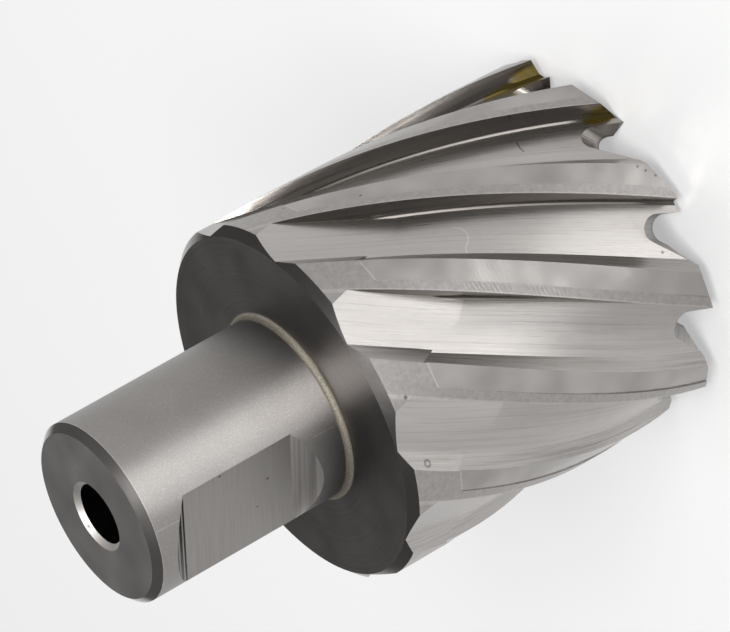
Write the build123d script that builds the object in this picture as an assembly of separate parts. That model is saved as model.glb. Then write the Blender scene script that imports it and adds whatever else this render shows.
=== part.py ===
from build123d import *
import os
from math import cos, degrees, pi, radians, sin, tan

# An annular cutter, turned, milled and ground from one bar of high speed steel. It stands on its
# tooth tips: the ground is Z = 0, the axis is +Z and the shank points up. Lengths are in mm.

# shank, with two flats for the drill's set screws
shank_diameter = 19.05
shank_length = 23.0
shank_chamfer = 0.75
root_fillet = 0.6
flat_depth = 1.95
flat_near_end = 4.8
flat_length = 12.6
flat_ramp_angle = 40.0
flat_facings = (-90.0, 180.0)

# body, widest at the teeth and ground a little smaller towards the shoulder
body_diameter = 38.0
body_height = 38.7
back_taper = 0.15
shoulder_chamfer = 0.85

# the bore for the pilot pin, and the hollow for the slug
pilot_diameter = 6.35
pilot_countersink = 0.5
cup_wall = 2.0
web_thickness = 6.0
web_chamfer = 1.0

# flutes, with the first cutting edge placed from the first flat
tooth_count = 10
helix_angle = 30.0
flat_to_edge_angle = 82.1
flute_depth = 2.0
flute_root_chamfer = 0.35
floor_hollow = 0.12
heel_depth = 1.3
heel_foot_angle = 20.5
heel_top_angle = 24.8

# the margin stays at full diameter, the land behind it is ground a little lower
margin_angle = 3.6
clearance_depth = 0.15
clearance_start = 5.9

# run-out: near the shoulder each flute rises on a flat floor and a flat heel
runout_edge_drop = 2.75
runout_foot_depth = 0.85
runout_foot_angle = 18.7
runout_heel_angle = 24.3
runout_drop = 13.5
runout_floor_angle = 2.0
runout_heel_drop = 4.9
runout_overlap = 0.5

# teeth, of two kinds by turns: a leading tooth with a steep outer edge opens the cut, and a
# following tooth with a flatter edge, set back, widens it
tip_angle = 3.3
relief_angle = 12.5
leading_outer_angle = 32.0
leading_inner_angle = 18.0
following_outer_angle = 8.0
following_inner_angle = 10.0
following_setback = 0.45

# gullet: the rounded slot in front of each tooth
gullet_depth = 4.85
gullet_radius = 1.4
gullet_rake_lean = 22.0
gullet_back_angle = 39.0
gullet_slope = 42.0
gullet_skew = 19.0

# how far a cut is carried past the metal that it removes
overrun = 1.5

shank_radius = shank_diameter / 2
body_radius = body_diameter / 2
shoulder_radius = body_radius - back_taper / 2
pilot_radius = pilot_diameter / 2
floor_radius = body_radius - flute_depth
heel_radius = body_radius - heel_depth
cleared_radius = body_radius - clearance_depth
slug_radius = floor_radius - cup_wall
reach = body_radius + overrun
web_height = body_height - web_thickness
total_height = body_height + shank_length
pitch_angle = 360 / tooth_count
twist_rate = degrees(tan(radians(helix_angle)) / body_radius)


def spot(radius, ahead, height):
    """A point on the body, by its angle ahead of the first cutting edge at that height."""
    angle = radians(twist_rate * height - ahead)
    return Vector(radius * cos(angle), radius * sin(angle), height)


def polar(radius, ahead):
    """The same point in the flat section at height zero."""
    return (radius * cos(radians(ahead)), -radius * sin(radians(ahead)))


def arc(radius, first, last):
    """An arc about the axis in the flat section."""
    return ThreePointArc(polar(radius, first), polar(radius, (first + last) / 2), polar(radius, last))


def twisted(section, low, high):
    """A section carried along the helix from one height to another."""
    placed = Pos(0, 0, low) * section.rotate(Axis.Z, twist_rate * low)
    return Solid.extrude_linear_with_rotation(
        placed.faces()[0], (0, 0, low), (0, 0, high - low), twist_rate * (high - low))


def ring(tool, first=0, step=1):
    """Copies of a tool at every tooth, or at every second one."""
    first_edge = flat_facings[0] + flat_to_edge_angle
    return [tool.rotate(Axis.Z, first_edge + pitch_angle * i) for i in range(first, tooth_count, step)]


# turned blank, drawn as half of its section
with BuildPart() as blank:
    with BuildSketch(Plane.XZ):
        with BuildLine():
            Polyline(
                (slug_radius, -overrun),
                (body_radius, -overrun),
                (body_radius, 0),
                (shoulder_radius, body_height - shoulder_chamfer),
                (shoulder_radius - shoulder_chamfer, body_height),
                (shank_radius, body_height),
                (shank_radius, total_height - shank_chamfer),
                (shank_radius - shank_chamfer, total_height),
                (pilot_radius + pilot_countersink, total_height),
                (pilot_radius, total_height - pilot_countersink),
                (pilot_radius, web_height),
                (slug_radius - web_chamfer, web_height),
                (slug_radius, web_height - web_chamfer),
                close=True,
            )
        shape = make_face()
        root = shape.vertices().sort_by_distance((shank_radius, body_height, 0))[0]
        fillet(root, root_fillet)
    revolve(axis=Axis.Z)
body = blank.part

# flats on the shank, each milled across it with a ramp at both ends
flat_reach = shank_radius - flat_depth
flat_top = total_height - flat_near_end
flat_bottom = flat_top - flat_length
ramp_length = (flat_depth + overrun) / tan(radians(flat_ramp_angle))
flat_profile = Polyline(
    (flat_reach, flat_top),
    (shank_radius + overrun, flat_top + ramp_length),
    (shank_radius + overrun, flat_bottom - ramp_length),
    (flat_reach, flat_bottom),
    close=True,
)
flat_tool = extrude(make_face(Plane.XZ * flat_profile), shank_radius, both=True)
body -= [flat_tool.rotate(Axis.Z, facing) for facing in flat_facings]

# flute: a radial wall under the cutting edge, a hollow floor and a sloping heel
floor_middle = (floor_radius + heel_radius) / 2 - floor_hollow
heel_slope = (heel_top_angle - heel_foot_angle) / heel_depth
flute_section = make_face(Curve() + [
    Line(polar(reach, 0), polar(floor_radius, 0)),
    ThreePointArc(
        polar(floor_radius, 0),
        polar(floor_middle, heel_foot_angle / 2),
        polar(heel_radius, heel_foot_angle),
    ),
    Polyline(
        polar(heel_radius, heel_foot_angle),
        polar(body_radius, heel_top_angle),
        polar(reach, heel_top_angle + heel_slope * overrun),
        polar(reach, 0),
    ),
])
root_corner = flute_section.vertices().sort_by_distance(polar(floor_radius, 0) + (0,))[0]
flute_section = chamfer(root_corner, flute_root_chamfer)
flute = twisted(flute_section, -2 * overrun, body_height + overrun)

# points that place the run-out
edge_point = spot(body_radius, 0, body_height - runout_edge_drop)
foot_point = spot(body_radius - runout_foot_depth, runout_foot_angle, body_height)
floor_point = spot(floor_radius, runout_floor_angle, body_height - runout_drop)
heel_point = spot(body_radius, runout_heel_angle, body_height - shoulder_chamfer)
heel_end = spot(body_radius, heel_top_angle, body_height - runout_heel_drop)


def stock_under(first, second, third):
    """The metal on the axis side of a plane through three points."""
    normal = (second - first).cross(third - first).normalized()
    if normal.dot(Vector(first.X, first.Y, 0)) < 0:
        normal = -normal
    side = 2 * total_height
    block = Box(side, side, side, align=(Align.CENTER, Align.CENTER, Align.MAX))
    return Plane(origin=first, z_dir=normal) * block


# the metal that stays under the run-out ends at a line that slants across the flute
line_normal = (heel_end - floor_point).cross(Vector(floor_point.X, floor_point.Y, 0)).normalized()
if line_normal.Z < 0:
    line_normal = -line_normal
line_plane = Plane(origin=floor_point - line_normal * runout_overlap, z_dir=line_normal)
runout_floor = stock_under(edge_point, foot_point, floor_point)
runout_heel = stock_under(foot_point, heel_point, heel_end)
runout_stock = split(runout_floor + runout_heel, bisect_by=line_plane, keep=Keep.TOP)
flute_tool = Part() + flute - runout_stock

# cleared land, from below the shoulder to the teeth
margin_back = pitch_angle - margin_angle
land_section = make_face(Curve() + [
    arc(cleared_radius, heel_foot_angle, margin_back),
    Line(polar(cleared_radius, margin_back), polar(reach, margin_back)),
    arc(reach, margin_back, heel_foot_angle),
    Line(polar(reach, heel_foot_angle), polar(cleared_radius, heel_foot_angle)),
])
land_tool = twisted(land_section, -2 * overrun, body_height - clearance_start)

# directions at the first tooth's tip
tip = spot(floor_radius, tip_angle, 0)
outward = Vector(tip.X, tip.Y, 0).normalized()
forward = Vector(outward.Y, -outward.X, 0)
upward = Vector(0, 0, 1)

# gullet, drawn as seen from outside with the tip at the origin
lean = radians(gullet_rake_lean)
back = radians(gullet_back_angle)
slope = tan(radians(gullet_slope))
centre_y = gullet_depth - gullet_radius
centre_x = (gullet_radius - centre_y * sin(lean)) / cos(lean)
crown = (lean + 3 * pi / 2 - back) / 2
rake_touch = (centre_x - gullet_radius * cos(lean), centre_y - gullet_radius * sin(lean))
crown_point = (centre_x + gullet_radius * cos(crown), centre_y + gullet_radius * sin(crown))
back_touch = (centre_x + gullet_radius * sin(back), centre_y + gullet_radius * cos(back))
mouth = -(reach - floor_radius) * slope - overrun
rake_mouth = (-mouth * tan(lean), mouth)
back_mouth = (back_touch[0] + (back_touch[1] - mouth) / tan(back), mouth)
gullet_section = make_face(Curve() + [
    Line(rake_mouth, rake_touch),
    ThreePointArc(rake_touch, crown_point, back_touch),
    Polyline(back_touch, back_mouth, rake_mouth),
])
gullet_plane = Plane(origin=tip, x_dir=forward, z_dir=forward.cross(upward))
inward = (forward * tan(radians(gullet_skew)) - outward - upward * slope).normalized()
gullet_length = reach - slug_radius + overrun
gullet_tool = extrude(gullet_plane * gullet_section, gullet_length, dir=inward, both=True)


def relief_tool(setback, outer_angle, inner_angle):
    """What is ground away below one kind of tooth, backed off behind its two edges."""
    inner_reach = slug_radius - 2 * overrun
    outer_rise = (reach - floor_radius) * tan(radians(outer_angle))
    inner_rise = (floor_radius - inner_reach) * tan(radians(inner_angle))
    profile = Polyline(
        (inner_reach, -3 * overrun),
        (inner_reach, setback + inner_rise),
        (floor_radius, setback),
        (reach, setback + outer_rise),
        (reach, -3 * overrun),
        close=True,
    )
    face = Plane(origin=(0, 0, 0), x_dir=outward, z_dir=outward.cross(upward)) * make_face(profile)
    backward = (upward * tan(radians(relief_angle)) - forward).normalized()
    length = reach * tan(radians(pitch_angle - heel_foot_angle + tip_angle))
    return extrude(face, length, dir=backward) + extrude(face, overrun, dir=-backward)


leading_tool = relief_tool(0, leading_outer_angle, leading_inner_angle)
following_tool = relief_tool(following_setback, following_outer_angle, following_inner_angle)
tools = ring(flute_tool) + ring(land_tool) + ring(gullet_tool)
tools += ring(leading_tool, 0, 2) + ring(following_tool, 1, 2)
for tool in tools:
    body = body - tool

os.makedirs("parts", exist_ok=True)
export_step(body, "parts/annular_cutter.step")
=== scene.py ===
import bpy
import bmesh
from math import cos, degrees, radians, sin
from types import SimpleNamespace
from mathutils import Matrix, Vector

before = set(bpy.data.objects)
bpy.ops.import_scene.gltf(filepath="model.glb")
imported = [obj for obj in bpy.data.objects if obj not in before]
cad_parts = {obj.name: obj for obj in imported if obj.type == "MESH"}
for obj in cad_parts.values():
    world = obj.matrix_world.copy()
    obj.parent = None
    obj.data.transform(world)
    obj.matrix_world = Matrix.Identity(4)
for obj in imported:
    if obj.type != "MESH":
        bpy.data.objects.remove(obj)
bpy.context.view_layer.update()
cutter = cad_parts["annular_cutter"]
scene = bpy.context.scene
print("frame loaded")

# the camera, found from the photographed rims: it looks down from the shank's end, rolled over
cameraSettings = {
    "place": Vector((0.423694, -0.341603, 0.286721)),
    "right": Vector((-0.02093, -0.61778, -0.78607)),
    "up": Vector((0.71538, 0.54000, -0.44344)),
    "lens": 308.2,
    "sensor": 36.0,
    "nearest": 0.05,
}


def makeCamera(settings):
    data = bpy.data.cameras.new("camera")
    data.lens = settings["lens"]
    data.sensor_width = settings["sensor"]
    data.clip_start = settings["nearest"]
    camera = bpy.data.objects.new("camera", data)
    scene.collection.objects.link(camera)
    right = settings["right"].normalized()
    up = (settings["up"] - right * settings["up"].dot(right)).normalized()
    turned = Matrix((right, up, right.cross(up))).transposed().to_4x4()
    camera.matrix_world = Matrix.Translation(settings["place"]) @ turned
    scene.camera = camera


makeCamera(cameraSettings)
print("camera placed")


class Wire:
    # a socket in a material, so that shader maths reads as plain sums
    def __init__(self, finish, socket):
        self.finish = finish
        self.socket = socket

    def maths(self, operation, *values):
        return self.finish.node("ShaderNodeMath", {"operation": operation}, dict(enumerate(values)))

    def __add__(self, other):
        return self.maths("ADD", self, other)

    def __radd__(self, other):
        return self.maths("ADD", other, self)

    def __sub__(self, other):
        return self.maths("SUBTRACT", self, other)

    def __rsub__(self, other):
        return self.maths("SUBTRACT", other, self)

    def __mul__(self, other):
        return self.maths("MULTIPLY", self, other)

    def __rmul__(self, other):
        return self.maths("MULTIPLY", other, self)

    def __truediv__(self, other):
        return self.maths("DIVIDE", self, other)

    def __rtruediv__(self, other):
        return self.maths("DIVIDE", other, self)

    def larger(self, other):
        return self.maths("MAXIMUM", self, other)


class Finish:
    # a material built up node by node
    def __init__(self, name):
        self.material = bpy.data.materials.new(name)
        self.material.use_nodes = True
        self.tree = self.material.node_tree
        self.tree.nodes.clear()

    def node(self, kind, settings=None, values=None, output=0):
        made = self.tree.nodes.new(kind)
        for name, value in (settings or {}).items():
            setattr(made, name, value)
        for name, value in (values or {}).items():
            if isinstance(value, Wire):
                self.tree.links.new(value.socket, made.inputs[name])
            else:
                made.inputs[name].default_value = value
        return Wire(self, made.outputs[output]) if made.outputs else None

    def vector(self, operation, values, output=0):
        return self.node("ShaderNodeVectorMath", {"operation": operation}, values, output)

    def above(self, value, edge, soft):
        # 0 below the edge and 1 above it, with a soft step between
        return self.node("ShaderNodeMapRange", {"interpolation_type": "SMOOTHSTEP"}, {
            "Value": value, "From Min": edge - soft / 2, "From Max": edge + soft / 2})

    def below(self, value, edge, soft):
        return 1 - self.above(value, edge, soft)

    def between(self, value, low, high, soft):
        return self.above(value, low, soft) * self.below(value, high, soft)

    def scaled(self, vector, factors):
        return self.vector("MULTIPLY", {0: vector, 1: factors})

    def noise(self, vector, stretch, scale, detail, rough):
        return self.node("ShaderNodeTexNoise", {"noise_dimensions": "3D"}, {
            "Vector": self.scaled(vector, stretch), "Scale": scale, "Detail": detail, "Roughness": rough})

    def blend(self, factor, first, second, mode="MIX"):
        return self.node("ShaderNodeMix", {"data_type": "RGBA", "blend_type": mode},
                         {0: factor, 6: first, 7: second}, 2)

    def split(self, vector):
        parts = self.node("ShaderNodeSeparateXYZ", {}, {0: vector}).socket.node
        return [Wire(self, parts.outputs[i]) for i in range(3)]

    def widest(self, masks):
        # the union of several masks
        whole = masks[0]
        for mask in masks[1:]:
            whole = whole.larger(mask)
        return whole

    def spot(self, place, point, size):
        # 1 in a small round patch, 0 outside it
        return self.below(self.vector("DISTANCE", {0: place, 1: point}, 1), size, size * 0.7)

    def stroke(self, place, points, width):
        # 1 on a thin line through the points
        lines = []
        for start, end in zip(points, points[1:]):
            run = Vector(end) - Vector(start)
            ahead = self.vector("SUBTRACT", {0: place, 1: start})
            share = self.vector("DOT_PRODUCT", {0: ahead, 1: run / run.length_squared}, 1)
            share = self.node("ShaderNodeClamp", {}, {0: share})
            nearest = self.vector("SCALE", {0: run, 3: share})
            gap = self.vector("DISTANCE", {0: ahead, 1: nearest}, 1)
            lines.append(self.below(gap, width / 2, width / 2))
        return self.widest(lines)


cutterSettings = {
    # where the cutter's surfaces lie, in mm and degrees
    "sizes": {
        "firstEdge": -7.9,          # from +X to the first cutting edge, at the tips
        "twist": 1.741,             # turn of the flutes in one mm of height
        "pitch": 36.0,
        "marginAngle": 3.6,
        "heelTop": 24.8,
        "edgeLineStart": -0.45,
        "edgeLineEnd": 1.0,
        "rootLineEnd": 1.1,
        "backTaper": 0.00194,       # lost from the radius in one mm of height
        "floorRadius": 17.5,
        "rootRadius": 17.2,
        "fluteInside": 15.3,
        "outsideRadius": 18.75,
        "marginRadius": 18.93,
        "landTop": 32.81,           # above it the outside isn't cleared
        "fluteBottom": 0.3,
        "rootLineBottom": 4.0,
        "chatterTop": 31.0,
        "edgeBottom": 37.7,         # of the chamfer round the shoulder
        "shoulderHeight": 38.7,
        "hollowRadius": 15.2,
        "hollowTop": 33.0,
        "levelBottom": 30.0,        # of the faces that look straight up
        "shoulderTop": 40.0,
        "boreRadius": 3.3,
        "sinkRadius": 3.75,
        "sinkBottom": 60.0,
        "filletTop": 39.32,
        "filletRadius": 10.2,
        "shankBottom": 39.3,
        "shankRadius": 9.45,
        "crownBottom": 60.9,        # of the shank's end with its chamfer
        "crownInside": 3.7,
        "flatReach": 7.4,
        "flatSide": 9.4,
        "rampSide": 9.56,
        "flatBottom": 44.0,
        "flatTop": 57.2,
        "rampBottom": 41.9,
        "rampTop": 59.3,
        # above this height the ramp is painted darker, a painted shade
        "upperRampPaintedShade": 50.0,
    },
    # how far a face has to be turned one way, and how soft the limit is
    "facings": {
        "chamfer": (0.4, 0.1), "outside": (0.93, 0.04), "outsideUp": (-0.06, 0.04),
        "wall": (0.55, 0.2), "heel": (0.3, 0.2), "rising": (0.06, 0.04), "risingOut": (0.9, 0.04),
        "bore": (0.4, 0.2), "sunk": (0.5, 0.9, 0.1), "level": (0.95, 0.05), "shank": (0.4, 0.2),
        "flat": (0.99, 0.01), "flatRound": (0.9995, 0.0002), "ramp": (0.35, 0.1),
    },
    # each pattern's stretch, scale, detail and roughness
    "patterns": {
        "fineLines": ((1, 1, 0.014), 6.5, 2.0, 0.7),
        "longLines": ((1, 1, 0.0084), 3.0, 1.0, 0.7),
        "smudge": ((1, 1, 0.252), 0.24, 1.0, 0.5),
        "turned": ((0.12, 0.12, 8.0), 1.0, 2.0, 0.7),
        "stripes": ((0.05, 0.05, 2.6), 1.0, 1.0, 0.5),
        "grain": ((1, 1, 1), 7.0, 1.0, 0.7),
        "cloud": ((1, 1, 1), 0.24, 1.0, 0.5),
        "mottle": ((1, 1, 1), 1.9, 2.0, 0.65),
        "rings": {"Scale": 3.0, "Detail": 1.0},     # along the radius only
    },
    # where in its pattern each of these shows, and how soft the limit is
    "limits": {
        "scored": (0.4, 0.1), "sparkle": (0.6, 0.12), "chatter": (0.54, 0.1), "oil": (0.4, 0.25),
    },
    # the ripples that the wheel's chatter left
    "ripples": {
        "closeness": 15.0,
        "sway": 4.0,
        "onLand": 0.35,             # how strong they are there, with 1 on the margin
    },
    # colours, how much of each shows, and the finish
    "steel": {
        "tone": (0.385, 0.367, 0.353, 1),
        "wallTone": (0.37, 0.325, 0.28, 1),
        "filletTone": (0.36, 0.31, 0.2, 1),
        "oilTone": (0.5, 0.38, 0.05, 1),
        "wallShare": 0.5,
        "filletShare": 0.35,
        "oilShare": 0.85,
        "fluteRoughness": 0.29,
        "landRoughness": 0.2,
        "shankRoughness": 0.39,
        "brushing": 0.85,           # how far the shank's gleam is drawn out along it
        "brushTurn": 0.25,
        "bumpUnit": 0.000001,       # a thousandth of a mm
    },
    # how much lighter or darker each surface and pattern makes the steel
    "tones": {
        "fluteLines": 0.32, "heelLines": 0.75, "smudge": 0.35, "scored": -0.09,
        # the root line, the edge line and the step are painted highlights: lighter colour along the flute
        # roots, the cutting edges and the step where the lands' clearing ends
        "wall": 0.15, "heel": -0.05, "rising": 0.14, "paintedRootHighlight": 0.45,
        "land": -0.04, "landCloud": 0.65, "margin": -0.1, "marginMottle": 0.45, "paintedEdgeHighlight": 0.25,
        "step": 0.35,
        "shank": 0.04, "shankGrain": 0.25, "sparkle": 0.12, "shankCloud": 0.16,
        # the ramps are painted lighter, a painted highlight, and the upper ramp darker again, a painted
        # shade
        "flat": 0.05, "flatLines": 0.4, "ramp": 1.4, "rampStripes": 3.0, "upperRampPaintedShade": -1.9,
        # the shoulder is painted darker, a painted shade, and the shank's end lighter, painted light,
        # though both are the same turned steel
        "level": 0.25, "rings": 0.12, "shoulder": -0.78, "crown": 0.68,
        # the countersink is painted lighter, a painted highlight, and the bore and the hollow darker,
        # painted shade in these holes
        "fillet": -0.25, "filletGrain": 1.6, "sunk": 1.0, "bore": -0.6, "hollow": -0.4,
        "pits": -0.6, "scratches": 0.3,
    },
    # how high each pattern stands, in thousandths of a mm
    "reliefs": {
        "fluteLines": 3.2, "scored": -2.2, "smudge": 25.0, "landCloud": 150.0, "landGrain": 1.0,
        "mottle": 9.0, "chatter": 2.2, "shankGrain": 2.6, "flatLines": 3.0, "rampStripes": 40.0,
        "hollowLines": 5.0, "rings": 1.5, "levelGrain": 0.8, "roughGrain": 9.0,
    },
    # how much rougher or smoother each surface and pattern is
    "roughness": {
        "fluteLines": 0.14, "wall": -0.14, "paintedRootHighlight": 0.32, "oil": -0.08,
        "cloud": 0.1, "margin": 0.08, "level": 0.05, "shoulder": 0.08, "fillet": 0.5, "sunk": 0.3,
        "hollow": 0.12, "grain": 0.1, "ramp": 0.2,
    },
    # wear that the photo shows, in mm from the middle of the foot
    "wear": {
        "pits": [       # place and size
            ((11.39, -15.10, 36.30), 0.2), ((10.15, -14.36, 4.37), 0.16), ((18.60, 3.06, 27.18), 0.13),
            ((17.50, 7.21, 33.23), 0.11), ((15.80, -10.28, 1.89), 0.12), ((16.27, -9.52, 2.50), 0.13),
            ((16.62, -8.89, 2.98), 0.12), ((8.56, 13.12, 38.70), 0.11), ((5.49, -7.58, 52.63), 0.15),
            ((1.64, -7.58, 47.13), 0.15), ((-1.30, -7.58, 48.44), 0.11), ((-2.99, 1.82, 61.4), 0.2),
        ],
        "rings": [((4.63, -17.90, 36.03), 0.42)],
        "ringInside": 0.55,
        "nicks": [      # dark lines
            [(17.13, 0.64, 10.11), (17.25, -0.19, 10.42), (17.33, -0.94, 10.53)],
        ],
        "nickWidth": 0.14,
        "scratches": [  # bright lines
            [(16.63, -4.28, 21.92), (16.52, -4.78, 21.36), (16.35, -5.59, 21.16),
             (16.23, -6.30, 21.61), (16.16, -6.92, 22.47), (16.06, -7.48, 22.69)],
            [(11.18, -14.29, 38.63), (10.69, -15.21, 38.18)],
            [(4.60, -8.34, 42.25), (4.52, -8.38, 39.78)],
            [(4.18, -8.55, 60.67), (4.06, -8.62, 58.17)],
        ],
        "scratchWidth": 0.11,
        "oil": [        # line and width, thin along the root and wide on the wall by the tip
            ([(15.02, 8.55, 0.90), (14.57, 9.22, 2.64), (14.07, 9.80, 4.30), (13.60, 10.20, 5.90)], 0.9),
            ([(15.35, 9.05, 1.00), (15.05, 9.30, 2.30)], 1.9),
            ([(17.05, -2.10, 0.80), (17.04, -1.66, 1.81), (16.96, -1.25, 2.85)], 0.8),
            ([(18.10, -2.00, 1.10), (17.75, -1.60, 1.70)], 1.6),
        ],
    },
}


def findPlace(steel, sizes):
    # where a point of the steel is and which way it faces
    place = steel.node("ShaderNodeTexCoord", output="Object")
    facing = Wire(steel, place.socket.node.outputs["Normal"])
    at = SimpleNamespace(mm=steel.scaled(place, (1000, 1000, 1000)))
    x, y, at.z = steel.split(at.mm)
    at.facingX, at.facingY, at.facingZ = steel.split(facing)
    at.radius = steel.vector("LENGTH", {0: steel.scaled(at.mm, (1, 1, 0))}, 1)
    at.outward = (at.facingX * x + at.facingY * y) / at.radius
    at.forward = (at.facingX * y - at.facingY * x) / at.radius      # towards the cut
    # straightened along the helix, so that a pattern can follow the flutes
    straight = steel.node("ShaderNodeVectorRotate", {"rotation_type": "Z_AXIS"}, {
        "Vector": at.mm, "Angle": at.z * radians(-sizes["twist"])})
    straightX, straightY = steel.split(straight)[:2]
    at.bearing = straightY.maths("ARCTAN2", straightY, straightX) * degrees(1)
    # degrees ahead of the nearest cutting edge, from the margin behind it
    ahead = sizes["firstEdge"] - at.bearing + sizes["marginAngle"]
    at.ahead = ahead.maths("FLOORED_MODULO", ahead, sizes["pitch"]) - sizes["marginAngle"]
    return at


def findBody(steel, sizes, facings, at):
    # masks for the surfaces of the body
    above, below = steel.above, steel.below
    topEdge = above(at.z, sizes["edgeBottom"], 0.1) * above(at.facingZ, *facings["chamfer"])
    body = below(at.z, sizes["shoulderHeight"] - 0.05, 0.02) * (1 - topEdge)
    fullRadius = at.radius + at.z * sizes["backTaper"]
    outside = above(fullRadius, sizes["outsideRadius"], 0.02) * above(at.outward, *facings["outside"])
    outside = outside * body * above(at.facingZ, *facings["outsideUp"])
    high = above(fullRadius, sizes["marginRadius"], 0.016)
    margin = outside * high.larger(above(at.z, sizes["landTop"], 0.04))
    flute = (body - outside) * above(at.radius, sizes["fluteInside"], 0.1)
    flute = flute * above(at.z, sizes["fluteBottom"], 0.3)
    wall = flute * above(at.forward, *facings["wall"])
    heel = flute * above(0 - at.forward, *facings["heel"])
    rising = flute * above(0 - at.facingZ, *facings["rising"]) * above(at.outward, *facings["risingOut"])
    # a thin band along each flute's root, painted lighter as a highlight
    paintedRootHighlight = flute * below(at.ahead, sizes["rootLineEnd"], 0.12)
    paintedRootHighlight = paintedRootHighlight * below(at.radius, sizes["rootRadius"], 0.1)
    paintedRootHighlight = paintedRootHighlight * above(at.z, sizes["rootLineBottom"], 2)
    # a thin band along each margin's cutting edge, painted lighter as a highlight
    paintedEdgeHighlight = margin * above(at.ahead, sizes["edgeLineStart"], 0.3)
    paintedEdgeHighlight = paintedEdgeHighlight * below(at.ahead, sizes["edgeLineEnd"], 0.5)
    # the small step where the lands' clearing ends, painted lighter as a highlight
    step = outside * steel.between(at.z, sizes["landTop"] - 0.15, sizes["landTop"] + 0.03, 0.08)
    step = step * above(at.ahead, sizes["heelTop"], 1)
    # the inside of the body, painted darker as a shade
    hollow = below(at.radius, sizes["hollowRadius"], 0.1) * below(at.z, sizes["hollowTop"], 0.2)
    return SimpleNamespace(margin=margin, cleared=outside - margin, flute=flute, wall=wall, heel=heel,
                           rising=rising, paintedRootHighlight=paintedRootHighlight, paintedEdgeHighlight=paintedEdgeHighlight, step=step, hollow=hollow)


def findShank(steel, sizes, facings, at):
    # masks for the surfaces of the shank, its bore and the shoulder
    above, below, between = steel.above, steel.below, steel.between
    # the bore, painted darker as a shade
    bore = below(at.radius, sizes["boreRadius"], 0.1) * above(at.z, sizes["hollowTop"], 0.2)
    bore = bore * below(at.facingZ, *facings["bore"])
    # the countersink, painted lighter as a highlight
    sunk = below(at.radius, sizes["sinkRadius"], 0.05) * between(at.facingZ, *facings["sunk"])
    sunk = sunk * above(at.z, sizes["sinkBottom"], 1)
    level = above(at.facingZ, *facings["level"]) * above(at.z, sizes["levelBottom"], 1)
    # the shoulder, painted darker as a shade
    shoulder = level * below(at.z, sizes["shoulderTop"], 0.1)
    # the shank's end and its chamfer, painted lighter as painted light
    crown = above(at.z, sizes["crownBottom"], 0.1) * above(at.radius, sizes["crownInside"], 0.1)
    fillet = above(at.z, sizes["shoulderHeight"] + 0.02, 0.05) * below(at.z, sizes["filletTop"], 0.06)
    fillet = fillet * below(at.radius, sizes["filletRadius"], 0.08)
    flat = above(0 - at.facingX, *facings["flat"]).larger(above(0 - at.facingY, *facings["flat"]))
    flat = flat * between(at.z, sizes["flatBottom"], sizes["flatTop"], 0.1)
    flat = flat * above(at.radius, sizes["flatReach"], 0.1)
    offRound = below(at.outward, *facings["flatRound"]).larger(below(at.radius, sizes["flatSide"], 0.05))
    flat = flat * offRound
    # the ramps at the ends of the flat, painted lighter as a highlight
    ramp = between(at.z, sizes["rampBottom"], sizes["rampTop"], 0.1)
    ramp = ramp * above(at.radius, sizes["flatReach"], 0.1) * below(at.radius, sizes["rampSide"], 0.01)
    ramp = ramp * above(at.facingZ.maths("ABSOLUTE", at.facingZ), *facings["ramp"])
    shank = above(at.z, sizes["shankBottom"], 0.04) * above(at.radius, sizes["shankRadius"], 0.02)
    shank = shank * below(at.facingZ, *facings["shank"]) * (1 - ramp)
    # the upper ramp, by the shank's end, is painted darker as a shade
    return SimpleNamespace(bore=bore, sunk=sunk, level=level, shoulder=shoulder, crown=crown,
                           fillet=fillet, flat=flat, ramp=ramp, shank=shank,
                           upperRampPaintedShade=ramp * above(at.z, sizes["upperRampPaintedShade"], 1))


def makePatterns(steel, settings, at, body):
    sizes, patterns = settings["sizes"], settings["patterns"]
    limits, ripples = settings["limits"], settings["ripples"]
    marks = SimpleNamespace()
    # fine lines left by the wheel along the flutes, some of them deeper
    lane = steel.node("ShaderNodeCombineXYZ", {}, {
        0: at.bearing * radians(sizes["floorRadius"]), 1: at.radius * body.wall, 2: at.z})
    marks.fineLines = steel.noise(lane, *patterns["fineLines"])
    marks.scored = steel.below(steel.noise(lane, *patterns["longLines"]), *limits["scored"])
    marks.smudge = steel.noise(lane, *patterns["smudge"])
    # lines round what was turned, and coarse ones across what was milled
    marks.turned = steel.noise(at.mm, *patterns["turned"])
    marks.stripes = steel.noise(at.mm, *patterns["stripes"])
    marks.rings = steel.node(
        "ShaderNodeTexNoise", {"noise_dimensions": "1D"}, {"W": at.radius, **patterns["rings"]})
    # grains and patches
    marks.grain = steel.noise(at.mm, *patterns["grain"])
    marks.sparkle = steel.above(marks.grain, *limits["sparkle"])
    marks.cloud = steel.noise(at.mm, *patterns["cloud"])
    marks.mottle = steel.noise(at.mm, *patterns["mottle"])
    # ripples, and the places where they are
    sway = marks.mottle * ripples["sway"]
    marks.ripple = at.z.maths("SINE", at.z * ripples["closeness"] + sway)
    marks.chatter = steel.above(marks.cloud, *limits["chatter"])
    marks.chatter = marks.chatter * (ripples["onLand"] * body.cleared + body.margin)
    marks.chatter = marks.chatter * steel.below(at.z, sizes["chatterTop"], 3)
    return marks


def makeWear(steel, wear, oilLimit, at, marks):
    pits = [steel.spot(at.mm, point, size) for point, size in wear["pits"]]
    for point, size in wear["rings"]:
        inside = steel.spot(at.mm, point, size * wear["ringInside"])
        pits.append(steel.spot(at.mm, point, size) * (1 - inside))
    pits += [steel.stroke(at.mm, points, wear["nickWidth"]) for points in wear["nicks"]]
    scratches = [steel.stroke(at.mm, points, wear["scratchWidth"]) for points in wear["scratches"]]
    oil = steel.widest([steel.stroke(at.mm, points, width) for points, width in wear["oil"]])
    return SimpleNamespace(pits=steel.widest(pits), scratches=steel.widest(scratches),
                           oil=oil * steel.above(marks.fineLines, *oilLimit))


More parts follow.
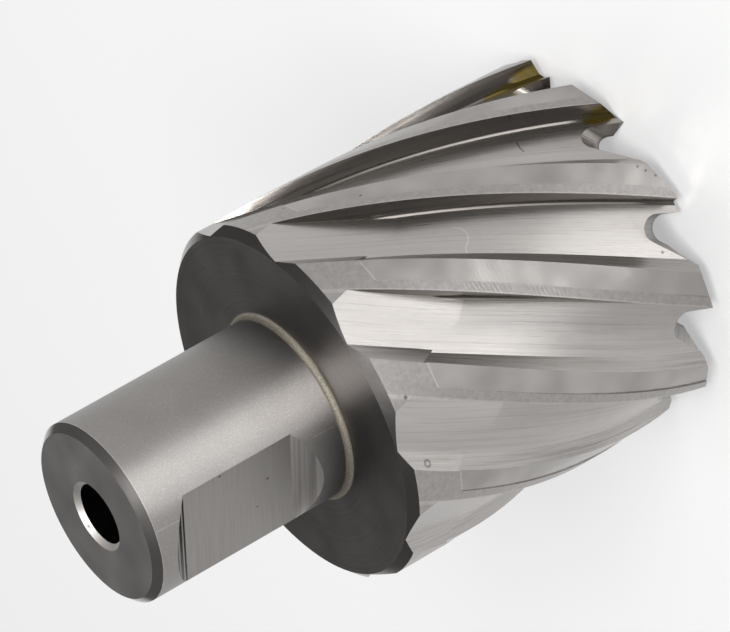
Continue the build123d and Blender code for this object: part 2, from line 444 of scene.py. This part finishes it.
def makeColour(steel, look, share, body, top, marks, wear):
    lines, grain, cloud = marks.fineLines - 0.5, marks.grain - 0.5, marks.cloud - 0.5
    streaks = (share["fluteLines"] + share["heelLines"] * body.heel) * lines
    streaks = streaks + share["smudge"] * (marks.smudge - 0.5) + share["scored"] * marks.scored
    tone = 1 + body.flute * streaks
    tone = tone * (1 + share["wall"] * body.wall + share["heel"] * body.heel
                   + share["rising"] * body.rising)
    # painted highlights along the flute roots, the cutting edges and the step
    tone = tone * (1 + share["paintedRootHighlight"] * body.paintedRootHighlight + share["paintedEdgeHighlight"] * body.paintedEdgeHighlight
                   + share["step"] * body.step)
    tone = tone * (1 + body.cleared * (share["landCloud"] * cloud + share["land"])
                   + body.margin * (share["marginMottle"] * (marks.mottle - 0.5) + share["margin"]))
    tone = tone * (1 + top.shank * (share["shank"] + share["shankGrain"] * grain
                                    + share["sparkle"] * marks.sparkle + share["shankCloud"] * cloud))
    # the ramps painted lighter as a highlight, the upper one darker as a shade
    tone = tone * (1 + top.flat * (share["flatLines"] * (marks.turned - 0.5) + share["flat"])
                   + top.ramp * (share["ramp"] + share["rampStripes"] * (marks.stripes - 0.5))
                   + share["upperRampPaintedShade"] * top.upperRampPaintedShade)
    # the shoulder painted darker as a shade, the shank's end lighter as painted light
    tone = tone * (1 + top.level * (share["rings"] * (marks.rings - 0.5) + share["level"])
                   + share["shoulder"] * top.shoulder + share["crown"] * top.crown)
    # the countersink painted lighter as a highlight
    tone = tone * (1 + top.fillet * (share["filletGrain"] * grain + share["fillet"])
                   + share["sunk"] * top.sunk)
    # the bore and the hollow painted darker as a shade
    tone = tone * (1 + share["bore"] * top.bore + share["hollow"] * body.hollow)
    tone = tone * (1 + share["pits"] * wear.pits) * (1 + share["scratches"] * wear.scratches)
    grey = steel.node("ShaderNodeCombineColor", {}, {0: tone, 1: tone, 2: tone})
    colour = steel.blend(1.0, look["tone"], grey, "MULTIPLY")
    colour = steel.blend(look["wallShare"] * body.wall, colour, look["wallTone"])
    colour = steel.blend(look["filletShare"] * top.fillet, colour, look["filletTone"])
    return steel.blend(look["oilShare"] * wear.oil, colour, look["oilTone"])


def makeBump(steel, look, relief, body, top, marks):
    height = body.flute * (relief["fluteLines"] * marks.fineLines + relief["scored"] * marks.scored
                           + relief["smudge"] * marks.smudge)
    height = height + body.cleared * (relief["landCloud"] * marks.cloud
                                      + relief["landGrain"] * marks.grain)
    height = height + body.margin * (relief["mottle"] * marks.mottle)
    height = height + marks.chatter * (relief["chatter"] * marks.ripple)
    height = height + top.shank * (relief["shankGrain"] * marks.grain)
    height = height + top.flat * (relief["flatLines"] * marks.turned)
    height = height + top.ramp * (relief["rampStripes"] * marks.stripes)
    height = height + body.hollow * (relief["hollowLines"] * marks.turned)
    height = height + top.level * (relief["rings"] * marks.rings
                                   + relief["levelGrain"] * marks.grain)
    height = height + (top.fillet + top.sunk) * (relief["roughGrain"] * marks.grain)
    return steel.node("ShaderNodeBump", {}, {
        "Strength": 1.0, "Distance": look["bumpUnit"], "Height": height})


def makeSteel(settings):
    steel = Finish("groundSteel")
    sizes, look, rough = settings["sizes"], settings["steel"], settings["roughness"]
    at = findPlace(steel, sizes)
    body = findBody(steel, sizes, settings["facings"], at)
    top = findShank(steel, sizes, settings["facings"], at)
    marks = makePatterns(steel, settings, at, body)
    wear = makeWear(steel, settings["wear"], settings["limits"]["oil"], at, marks)
    colour = makeColour(steel, look, settings["tones"], body, top, marks, wear)
    bump = makeBump(steel, look, settings["reliefs"], body, top, marks)

    fluteRoughness = (look["fluteRoughness"] + rough["fluteLines"] * (marks.fineLines - 0.5)
                      + rough["wall"] * body.wall + rough["paintedRootHighlight"] * body.paintedRootHighlight
                      + rough["oil"] * wear.oil)
    smoothRoughness = (look["landRoughness"] + rough["cloud"] * (marks.cloud - 0.5)
                       + rough["margin"] * body.margin + rough["level"] * top.level
                       + rough["shoulder"] * top.shoulder + rough["fillet"] * top.fillet
                       + rough["sunk"] * top.sunk + rough["hollow"] * body.hollow)
    turnedRoughness = (look["shankRoughness"] + rough["grain"] * (marks.grain - 0.5)
                       + rough["ramp"] * top.ramp)

    def metal(roughness, brushing=0.0, turn=0.0):
        return steel.node("ShaderNodeBsdfPrincipled", {}, {
            "Base Color": colour, "Metallic": 1.0, "Normal": bump, "Roughness": roughness,
            "Anisotropic": brushing, "Anisotropic Rotation": turn})

    mixed = steel.node("ShaderNodeMixShader", {}, {
        0: body.flute, 1: metal(smoothRoughness), 2: metal(fluteRoughness)})
    mixed = steel.node("ShaderNodeMixShader", {}, {
        0: top.shank + top.flat + top.ramp, 1: mixed,
        2: metal(turnedRoughness, look["brushing"], look["brushTurn"])})
    steel.node("ShaderNodeOutputMaterial", {}, {"Surface": mixed})
    return steel.material


cutter.material_slots[0].material = makeSteel(cutterSettings)
print("steel made")

floorSettings = {
    "size": 8.0,
    "tone": (0.91, 0.91, 0.91, 1),
    "roughness": 0.28,
    "refraction": 1.9,
    # how far it shows plain white to each kind of ray, without lighting anything
    "lift": {"Is Camera Ray": 0.45, "Is Glossy Ray": 0.2, "Is Transmission Ray": 0.45},
    "liftTone": (1, 1, 1, 1),
    "liftStrength": 1.0,
}


def makeFloor(settings):
    mesh = bpy.data.meshes.new("floor")
    shape = bmesh.new()
    bmesh.ops.create_grid(shape, x_segments=1, y_segments=1, size=settings["size"] / 2)
    shape.to_mesh(mesh)
    shape.free()
    floor = bpy.data.objects.new("floor", mesh)
    scene.collection.objects.link(floor)
    paint = Finish("floorPaint")
    surface = paint.node("ShaderNodeBsdfPrincipled", {}, {
        "Base Color": settings["tone"], "Roughness": settings["roughness"],
        "IOR": settings["refraction"], "Coat Weight": 1.0,
        "Coat Roughness": settings["roughness"], "Coat IOR": settings["refraction"]})
    rays = paint.node("ShaderNodeLightPath").socket.node
    lift = paint.widest([
        share * Wire(paint, rays.outputs[name]) for name, share in settings["lift"].items()])
    white = paint.node("ShaderNodeEmission", {}, {
        "Color": settings["liftTone"], "Strength": settings["liftStrength"]})
    surface = paint.node("ShaderNodeMixShader", {}, {0: lift, 1: surface, 2: white})
    paint.node("ShaderNodeOutputMaterial", {}, {"Surface": surface})
    mesh.materials.append(paint.material)


makeFloor(floorSettings)
print("floor laid")

# each lamp: the way it stands from the cutter in degrees round and up, its distance, width and power
lampSettings = {
    "back": {"round": 125, "up": 66, "away": 2.2, "wide": 1.7, "high": 1.7, "power": 22.0},
    "front": {"round": -38, "up": 45, "away": 2.2, "wide": 1.95, "high": 0.73, "power": 62.0},
}
skySettings = {"tone": (0.09, 0.09, 0.09, 1), "strength": 1.0}
lampTarget = Vector((0, 0, 0.03))       # the middle of the cutter


def makeLamps(lamps, sky, target):
    world = bpy.data.worlds.new("studio")
    scene.world = world
    world.use_nodes = True
    background = world.node_tree.nodes["Background"]
    background.inputs["Color"].default_value = sky["tone"]
    background.inputs["Strength"].default_value = sky["strength"]
    for name, lamp in lamps.items():
        data = bpy.data.lights.new(name, "AREA")
        data.shape = "ELLIPSE"
        data.size = lamp["wide"]
        data.size_y = lamp["high"]
        data.energy = lamp["power"]
        held = bpy.data.objects.new(name, data)
        scene.collection.objects.link(held)
        bearing, rise = radians(lamp["round"]), radians(lamp["up"])
        aim = Vector((cos(bearing) * cos(rise), sin(bearing) * cos(rise), sin(rise)))
        held.location = target + aim * lamp["away"]
        held.rotation_euler = aim.to_track_quat("Z", "Y").to_euler()
        held.visible_camera = False


makeLamps(lampSettings, skySettings, lampTarget)
scene.view_settings.view_transform = "Standard"
print("lights placed")
